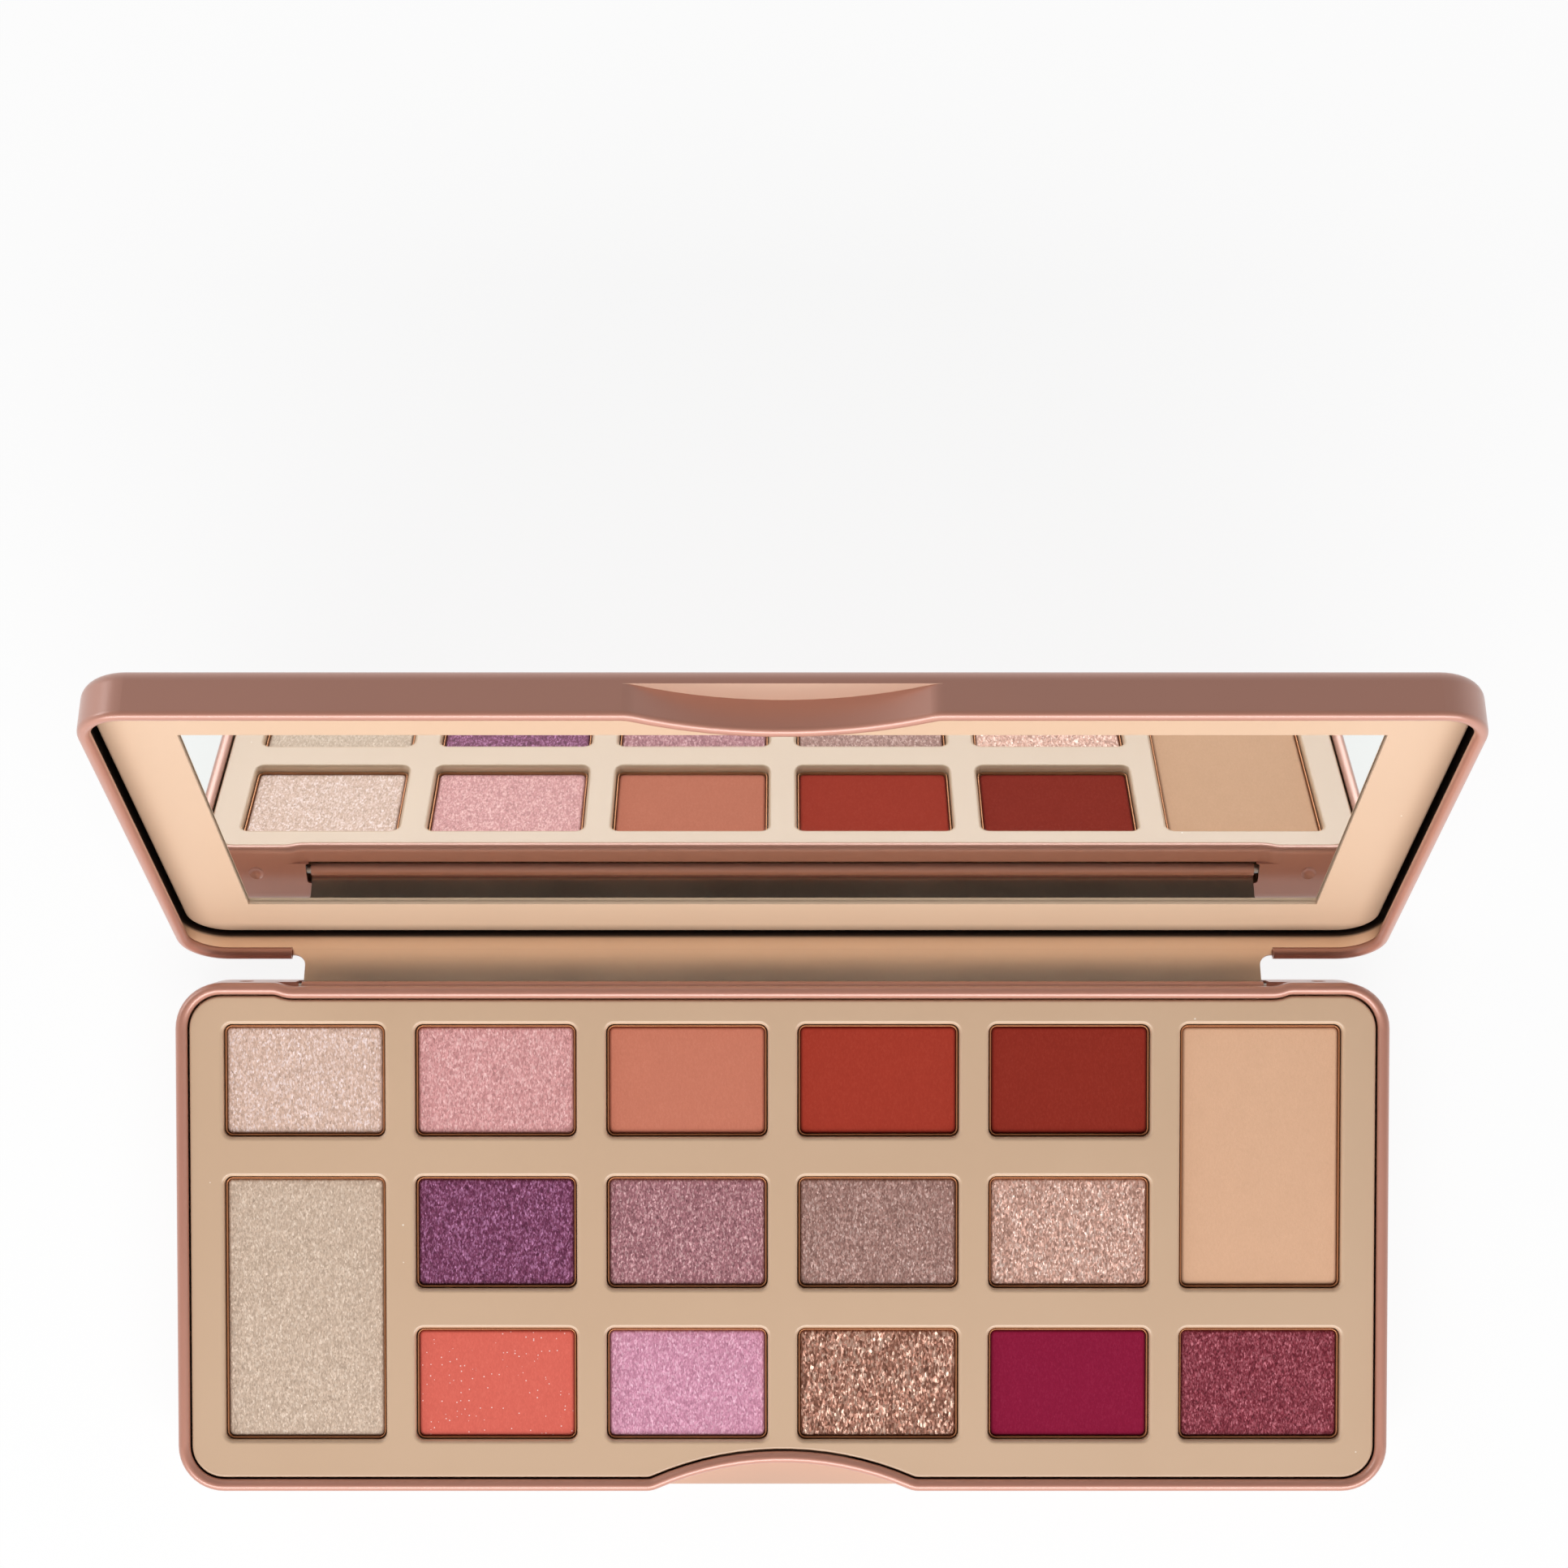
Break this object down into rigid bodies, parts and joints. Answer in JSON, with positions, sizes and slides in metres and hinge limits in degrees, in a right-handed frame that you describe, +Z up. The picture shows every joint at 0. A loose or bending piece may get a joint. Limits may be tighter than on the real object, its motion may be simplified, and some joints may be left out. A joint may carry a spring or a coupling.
{
  "type": "eyeshadow palette",
  "caption": "Slim hinged tin makeup palette: rolled-rim base with a tray of powder pans, and a lid with a framed mirror on a full-length wire hinge.",
  "frame": {"origin": "centre of the base's underside", "axes": "+X along the hinge, +Y towards the hinge at the back, +Z up"},
  "size_m": [0.185, 0.1223, 0.072],
  "materials": {
    "rose_gold_tin": "satin rose-gold lacquered tinplate",
    "hinge_steel": "bare drawn wire",
    "tray_plastic": "satin beige moulding",
    "frame_plastic": "satin peach moulding",
    "pan_metal": "bright drawn tinplate",
    "mirror_glass": "silvered float glass",
    "magnet": "sintered magnet",
    "glue": "hot-melt glue",
    "tape": "double-sided tape",
    "powder_01": "pressed powder",
    "powder_02": "pressed powder",
    "powder_03": "pressed powder",
    "powder_04": "pressed powder",
    "powder_05": "pressed powder",
    "powder_06": "pressed powder",
    "powder_07": "pressed powder",
    "powder_08": "pressed powder",
    "powder_09": "pressed powder",
    "powder_10": "pressed powder",
    "powder_11": "pressed powder",
    "powder_12": "pressed powder",
    "powder_13": "pressed powder",
    "powder_14": "pressed powder",
    "powder_15": "pressed powder",
    "powder_16": "pressed powder"
  },
  "bodies": {
    "base": {"base_shell": "rose_gold_tin", "hinge_wire": "hinge_steel", "pan_tray": "tray_plastic", "pan_01": "pan_metal", "pan_02": "pan_metal", "pan_03": "pan_metal", "pan_04": "pan_metal", "pan_05": "pan_metal", "pan_06": "pan_metal", "pan_07": "pan_metal", "pan_08": "pan_metal", "pan_09": "pan_metal", "pan_10": "pan_metal", "pan_11": "pan_metal", "pan_12": "pan_metal", "pan_13": "pan_metal", "pan_14": "pan_metal", "pan_15": "pan_metal", "pan_16": "pan_metal", "powder_01": "powder_01", "powder_02": "powder_02", "powder_03": "powder_03", "powder_04": "powder_04", "powder_05": "powder_05", "powder_06": "powder_06", "powder_07": "powder_07", "powder_08": "powder_08", "powder_09": "powder_09", "powder_10": "powder_10", "powder_11": "powder_11", "powder_12": "powder_12", "powder_13": "powder_13", "powder_14": "powder_14", "powder_15": "powder_15", "powder_16": "powder_16", "pan_glue": "glue", "tray_glue": "glue", "closure_magnets": "magnet"},
    "lid": {"lid_shell": "rose_gold_tin", "mirror_frame": "frame_plastic", "mirror": "mirror_glass", "mirror_tape": "tape", "frame_tape": "tape"}
  },
  "joints": [
    {"name": "lid_hinge", "type": "hinge", "parent": "base", "child": "lid", "pos_m": [0, 0.038, 0.006], "axis": [1, 0, 0], "range_deg": [0, 117]}
  ]
}
